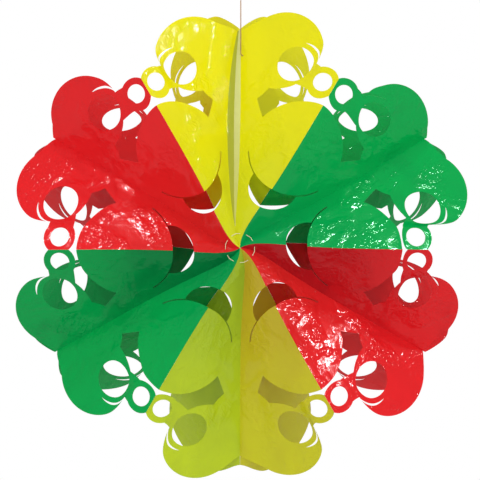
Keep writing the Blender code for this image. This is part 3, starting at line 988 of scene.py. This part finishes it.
@dataclass
class FilmFlower:
    """The twelve sheets of film."""

    folding: Folding
    pattern: CutPattern = field(default_factory=CutPattern)

    def patterns(self) -> dict[Cut, CutPattern]:
        """Works out how each kind of wing is cut.

        Returns:
            The front wings' pattern, and those of the back wings. Their gaps end sooner, and some of their
            lobes reach further. The bottom petal's still hold the discs of their holes.
        """
        short = replace(
            self.pattern, gap_tail=math.radians(58), gap_end_inner=(0.1240, 0.0385),
            gap_end_outer=(0.1300, 0.0385))
        radius = self.pattern.lobe_radius
        return {
            Cut.FRONT: self.pattern,
            Cut.SHORT_GAP: short,
            Cut.WIDE_LOBE: replace(short, lobe_radius=radius + 0.0035),
            Cut.UNCUT: replace(
                short, lobe_radius=radius + 0.0070, whole=True, notch_reach=0.2015, notch_width=0.0110),
        }

    def sheets(self) -> list[FilmSheet]:
        """Lists the sheets in order, clockwise from the top as seen from the front.

        Returns:
            The sheets.
        """
        px = PIXEL
        petals = (
            (Film.YELLOW, ("yellow_top_left_sheet", YELLOW, Sway((-8 * px, -4 * px), 4 * px)),
             ("yellow_top_right_sheet", YELLOW, Sway((8.5 * px, 0.5 * px), 3.6 * px))),
            (Film.GREEN, ("green_right_upper_sheet", GREEN, Sway((0, -5 * px), 3.6 * px)),
             ("green_right_lower_sheet", GREEN, Sway((1 * px, -11 * px), -5.5 * px))),
            (Film.RED, ("red_right_upper_sheet", SHADED_RED, Sway((-7 * px, 5 * px), -4.5 * px)),
             ("red_right_lower_sheet", RED, Sway((-2 * px, -1 * px), -3 * px))),
            (Film.YELLOW, ("yellow_bottom_right_sheet", YELLOW_WITH_PAINTED_SHADE_AND_RED_REFLECTION, Sway((9 * px, 1 * px), -3 * px)),
             ("yellow_bottom_left_sheet", YELLOW_WITH_PAINTED_SHADE_AND_GREEN_REFLECTION, Sway((-4 * px, -2 * px), -3 * px))),
            (Film.GREEN, ("green_left_lower_sheet", GREEN, Sway((8 * px, 0), -3 * px)),
             ("green_left_upper_sheet", SHADED_GREEN, Sway((1 * px, 4 * px), -1 * px))),
            (Film.RED, ("red_left_lower_sheet", RED, Sway((3 * px, -6 * px), -1 * px)),
             ("red_left_upper_sheet", RED, Sway((-1 * px, 3 * px), 4 * px))),
        )
        made = []
        for number, (film, *pair) in enumerate(petals):
            mid = math.pi / 2 - 2 * self.folding.half_petal * number
            for (node, finish, sway), side in zip(pair, (1, -1)):
                closure = Closure() if node == "yellow_top_left_sheet" else None
                behind = Cut.WIDE_LOBE
                if node.endswith("lower_sheet"):
                    behind = Cut.SHORT_GAP
                if node.startswith("yellow_bottom"):
                    behind = Cut.UNCUT
                made.append(FilmSheet(
                    node, film, finish, mid, side, self.folding, sway, behind=behind, closure=closure))
        return made

    def build(self) -> None:
        """Models and dresses every sheet."""
        materials = {finish.name: finish.build(self.folding.centre) for finish in FILM_FINISHES}
        blanks = {cut: pattern.blank() for cut, pattern in self.patterns().items()}
        for sheet in self.sheets():
            item = sheet.build({Wing.FRONT: blanks[Cut.FRONT], Wing.BACK: blanks[sheet.behind]}, materials)
            LOG.info("%s: %d faces", item.name, len(item.data.polygons))
        for blank in blanks.values():
            bpy.data.objects.remove(blank, do_unlink=True)


@dataclass(frozen=True)
class Lamp:
    """A rectangular lamp that looks at the flower's centre."""

    name: str
    way: tuple[float, float, float]
    distance: float
    width: float
    height: float
    power: float

    def build(self, centre: Vector) -> None:
        """Adds the lamp.

        Args:
            centre: The flower's centre.
        """
        data = bpy.data.lights.new(self.name, "AREA")
        data.shape = "RECTANGLE"
        data.size = self.width
        data.size_y = self.height
        data.energy = self.power
        lamp = bpy.data.objects.new(self.name, data)
        bpy.context.scene.collection.objects.link(lamp)
        towards = Vector(self.way).normalized()
        lamp.location = centre + self.distance * towards
        lamp.rotation_euler = (-towards).to_track_quat("-Z", "Y").to_euler()


LAMPS = (
    Lamp("front_lamp", (0.0, -0.97, 0.10), 1.5, 1.8, 1.8, 17.5),
    Lamp("top_lamp", (0.03, -0.34, 0.94), 1.1, 0.05, 0.05, 1.5),
    Lamp("upper_right_lamp", (0.84, -0.30, 0.46), 1.2, 0.05, 0.06, 1.6),
    Lamp("lower_right_lamp", (0.80, -0.29, -0.53), 1.2, 0.05, 0.06, 1.4),
)


@dataclass
class Studio:
    """The camera, the lamps and the white room."""

    centre: Vector
    distance: float = 1.05
    elevation: float = math.radians(3)
    frame_width: float = 0.4176
    sensor: float = 36.0
    photo_width: int = 480
    centre_row: int = 248
    room_light: float = 0.70
    room_size: float = 6.0
    floor_place: tuple[float, float, float] = (0, 0, -0.45)
    backdrop_place: tuple[float, float, float] = (0, 3.0, 0.9)
    matt_white: Colour = (0.8, 0.8, 0.8, 1)

    def camera(self) -> None:
        """Adds the camera at the photograph's viewing angle."""
        data = bpy.data.cameras.new("camera")
        data.sensor_width = self.sensor
        data.lens = self.sensor * self.distance / self.frame_width
        data.shift_y = (self.centre_row - self.photo_width / 2) / self.photo_width
        camera = bpy.data.objects.new("camera", data)
        bpy.context.scene.collection.objects.link(camera)
        away = Vector((0, -math.cos(self.elevation), math.sin(self.elevation)))
        camera.location = self.centre + self.distance * away
        camera.rotation_euler = (-away).to_track_quat("-Z", "Y").to_euler()
        bpy.context.scene.camera = camera

    def room(self) -> None:
        """Adds the pale floor and the backdrop, which are pure white to the camera and in reflections."""
        tree = ShaderTree(bpy.data.materials.new("white_room"))
        matt = tree.node("ShaderNodeBsdfDiffuse", {}, {"Color": self.matt_white})
        path = tree.node("ShaderNodeLightPath", {}, {})
        seen = Signal(tree, path.outputs["Is Camera Ray"]) + Signal(tree, path.outputs["Is Glossy Ray"])
        seen = seen + Signal(tree, path.outputs["Is Transmission Ray"])
        white = tree.node("ShaderNodeEmission", {}, {"Color": WHITE, "Strength": 1.0})
        tree.show(tree.node("ShaderNodeMixShader", {}, {0: seen, 1: matt.outputs[0], 2: white.outputs[0]}))
        upright = (math.pi / 2, 0, 0)
        for name, place, turn in (
                ("floor", self.floor_place, (0, 0, 0)), ("backdrop", self.backdrop_place, upright)):
            bpy.ops.object.select_all(action="DESELECT")
            bpy.ops.mesh.primitive_plane_add(
                size=self.room_size, location=self.centre + Vector(place), rotation=turn)
            plane = bpy.context.object
            plane.name = name
            plane.data.materials.append(tree.owner)

    def world(self) -> None:
        """Fills the room with even light, and shows white to the camera."""
        world = bpy.data.worlds.new("room_light")
        bpy.context.scene.world = world
        tree = ShaderTree(world, "ShaderNodeOutputWorld")
        fill = tree.node("ShaderNodeBackground", {}, {"Color": WHITE, "Strength": self.room_light})
        shown = tree.node("ShaderNodeBackground", {}, {"Color": WHITE, "Strength": 1.0})
        path = tree.node("ShaderNodeLightPath", {}, {})
        tree.show(tree.node("ShaderNodeMixShader", {}, {
            0: path.outputs["Is Camera Ray"], 1: fill.outputs[0], 2: shown.outputs[0]}))

    def build(self) -> None:
        """Sets up the view and the light."""
        bpy.context.scene.view_settings.view_transform = "Standard"
        self.camera()
        self.room()
        self.world()
        for lamp in LAMPS:
            lamp.build(self.centre)
        LOG.info("studio: camera, floor, backdrop and %d lamps", len(LAMPS))


@dataclass
class Threads:
    """The centre loop, and the hanging thread with its two knots and its loop."""

    centre: Vector
    hanging_radius: float = 0.0005
    centre_radius: float = 0.00035
    centre_loop_radius: float = 0.0130
    tie_point: Vector = field(default_factory=lambda: Vector((0.001873, 0.002482, -0.0605)))
    tie_direction: Vector = field(default_factory=lambda: Vector((-0.593, -0.784, 0.182)).normalized())
    tie_lead: float = 0.0010
    bend_radius: float = 0.0026
    film_thickness: float = 0.00025
    gap: float = 0.0003
    tie_knot_radius: float = 0.0012
    loop_radius: float = 0.0050
    loop_centre_z: float = -0.0055
    loop_knot_z: float = -0.0105
    loop_knot_radius: float = 0.0014
    twist_pitch: float = 0.0032
    spacing: float = 0.0005
    bend_steps: int = 5
    rise_steps: int = 8
    round_steps: int = 48
    centre_corners: int = 12

    def route(self) -> list[Vector]:
        """Lays out the hanging thread, from the film in a bend upwards and straight to its upper knot.

        Returns:
            Its points.
        """
        level = Vector((self.tie_direction.x, self.tie_direction.y, 0)).normalized()
        slope = math.asin(self.tie_direction.z)
        points = [self.tie_point - self.film_thickness / 2 * self.tie_direction,
                  self.tie_point + self.tie_lead * self.tie_direction]
        start = points[-1]
        for step in range(1, self.bend_steps + 1):
            turn = slope + (math.pi / 2 - slope) * step / self.bend_steps
            out = self.bend_radius * (math.sin(turn) - math.sin(slope))
            rise = self.bend_radius * (math.cos(slope) - math.cos(turn))
            points.append(start + out * level + Vector((0, 0, rise)))
        top = self.loop_knot_z - self.loop_knot_radius - self.gap
        foot = points[-1]
        for step in range(1, self.rise_steps + 1):
            points.append(foot + Vector((0, 0, (top - foot.z) * step / self.rise_steps)))
        return points

    def resampled(self, points: list[Vector], step: float, closed: bool) -> list[Vector]:
        """Points at an even step along a route.

        Args:
            points: The route's own points.
            step: The distance between two new points.
            closed: Whether the route returns to its first point.

        Returns:
            The new points.
        """
        corners = points + points[:1] if closed else points
        even = []
        for first, last in zip(corners, corners[1:]):
            count = max(1, round((last - first).length / step))
            even += [first.lerp(last, number / count) for number in range(count)]
        return even if closed else even + [corners[-1]]

    def plies(self, name: str, points: list[Vector], radius: float, count: int,
              closed: bool) -> bpy.types.Object:
        """Lays twisted plies along a route.

        Args:
            name: The new object's name.
            points: The route, with its points at an even step.
            radius: The thread's radius.
            count: The number of plies.
            closed: Whether the thread is a ring.

        Returns:
            The plies as one mesh.
        """
        data = bpy.data.curves.new(name, "CURVE")
        data.dimensions = "3D"
        data.bevel_depth = radius * 0.54
        data.bevel_resolution = 1
        data.use_fill_caps = not closed
        length = sum((b - a).length for a, b in zip(points, points[1:]))
        turns = max(1, round(length / self.twist_pitch))
        for ply in range(count):
            spline = data.splines.new("POLY")
            spline.points.add(len(points) - 1)
            spline.use_cyclic_u = closed
            for number, point in enumerate(points):
                behind, ahead = points[number - 1], points[(number + 1) % len(points)]
                if not closed:
                    behind, ahead = points[max(0, number - 1)], points[min(number + 1, len(points) - 1)]
                along = (ahead - behind).normalized()
                side = along.cross(Vector((0, 1, 0.01))).normalized()
                turn = 2 * math.pi * (turns * number / len(points) + ply / count)
                place = point + 0.46 * radius * (Matrix.Rotation(turn, 3, along) @ side)
                spline.points[number].co = (*place, 1)
        item = bpy.data.objects.new(name, data)
        bpy.context.scene.collection.objects.link(item)
        select_only(item)
        bpy.ops.object.convert(target="MESH")
        bpy.ops.object.shade_smooth()
        return bpy.context.object

    def knot(self, name: str, centre: Vector, radius: float) -> bpy.types.Object:
        """Ties a knot: a thread that runs round itself three times.

        Args:
            name: The new object's name.
            centre: The knot's centre.
            radius: The radius of the ball that it fills.

        Returns:
            The knot as a mesh.
        """
        scale = (radius - self.hanging_radius) / 3
        points = []
        for step in range(self.round_steps):
            turn = 2 * math.pi * step / self.round_steps
            points.append(centre + scale * Vector((
                math.sin(turn) + 2 * math.sin(2 * turn),
                2.4 * math.sin(3 * turn),
                math.cos(turn) - 2 * math.cos(2 * turn))))
        return self.plies(name, points, self.hanging_radius, 2, True)

    def finish(self, item: bpy.types.Object, node: str, slot: str, material: bpy.types.Material) -> None:
        """Dresses a piece of thread and puts it in the place of its solid.

        Args:
            item: The piece.
            node: The solid's node.
            slot: Not used.
            material: Its material.
        """
        item.data.materials.append(material)
        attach(item, BODY)
        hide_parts(node)
        LOG.info("%s: %d faces", item.name, len(item.data.polygons))

    def centre_loop(self) -> bpy.types.Object:
        """Models the loop that binds the sheets, with straight runs between its corners.

        Returns:
            The loop.
        """
        corners = []
        for number in range(self.centre_corners):
            turn = 2 * math.pi * (number + 0.5) / self.centre_corners
            reach = self.centre_loop_radius * (1.0 if number % 2 else 1.012)
            corners.append(self.centre + reach * Vector((math.cos(turn), 0, math.sin(turn))))
        points = self.resampled(corners, self.spacing, True)
        return self.plies("centre_thread", points, self.centre_radius, 2, True)

    def hanging_loop(self) -> bpy.types.Object:
        """Models the loop at the thread's upper end, which narrows to its knot.

        Returns:
            The loop with its knot, as one mesh.
        """
        points = []
        for step in range(1, self.round_steps):
            turn = 2 * math.pi * step / self.round_steps
            width = self.loop_radius * math.sin(turn) * ((1 - math.cos(turn)) / 2) ** 0.3
            points.append(Vector((width, 0, self.loop_centre_z - self.loop_radius * math.cos(turn))))
        points = self.resampled(points, self.spacing, False)
        loop = self.plies("loop_of_thread", points, self.hanging_radius, 3, False)
        knot = self.knot("upper_knot", Vector((0, 0, self.loop_knot_z)), self.loop_knot_radius)
        bpy.ops.object.select_all(action="DESELECT")
        knot.select_set(True)
        loop.select_set(True)
        bpy.context.view_layer.objects.active = loop
        bpy.ops.object.join()
        return loop

    def build(self) -> None:
        brown = ThreadFinish("hanging_thread_fibre", from_srgb(172, 122, 56), from_srgb(128, 84, 34)).build()
        pale = ThreadFinish("centre_thread_fibre", from_srgb(205, 195, 150), from_srgb(225, 220, 190)).build()
        self.finish(self.centre_loop(), "centre_thread_loop", "centre_thread", pale)
        distance = self.tie_knot_radius + self.gap + self.film_thickness / 2
        inner = self.knot("inner_knot", self.tie_point - distance * self.tie_direction, self.tie_knot_radius)
        self.finish(inner, "tie_knot", "hanging_thread", brown)
        loop = self.hanging_loop()
        self.finish(loop, "hanging_loop", "hanging_thread", brown)
        route = self.route()
        points = self.resampled(route, self.spacing, False)
        cord = self.plies("thread_of_flower", points, self.hanging_radius, 3, False)
        self.finish(cord, "hanging_thread", "hanging_thread", brown)
        length = sum((last - first).length for first, last in zip(route, route[1:]))
        2 * self.hanging_radius


def main() -> None:
    """Builds the flower and the studio in order."""
    logging.basicConfig(level=logging.INFO, format="%(message)s", stream=sys.stdout)
    low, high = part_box("centre_thread_loop")
    folding = Folding((low + high) / 2)
    Studio(folding.centre).build()
    FilmFlower(folding).build()
    Threads(folding.centre).build()


if __name__ == "__main__":
    main()
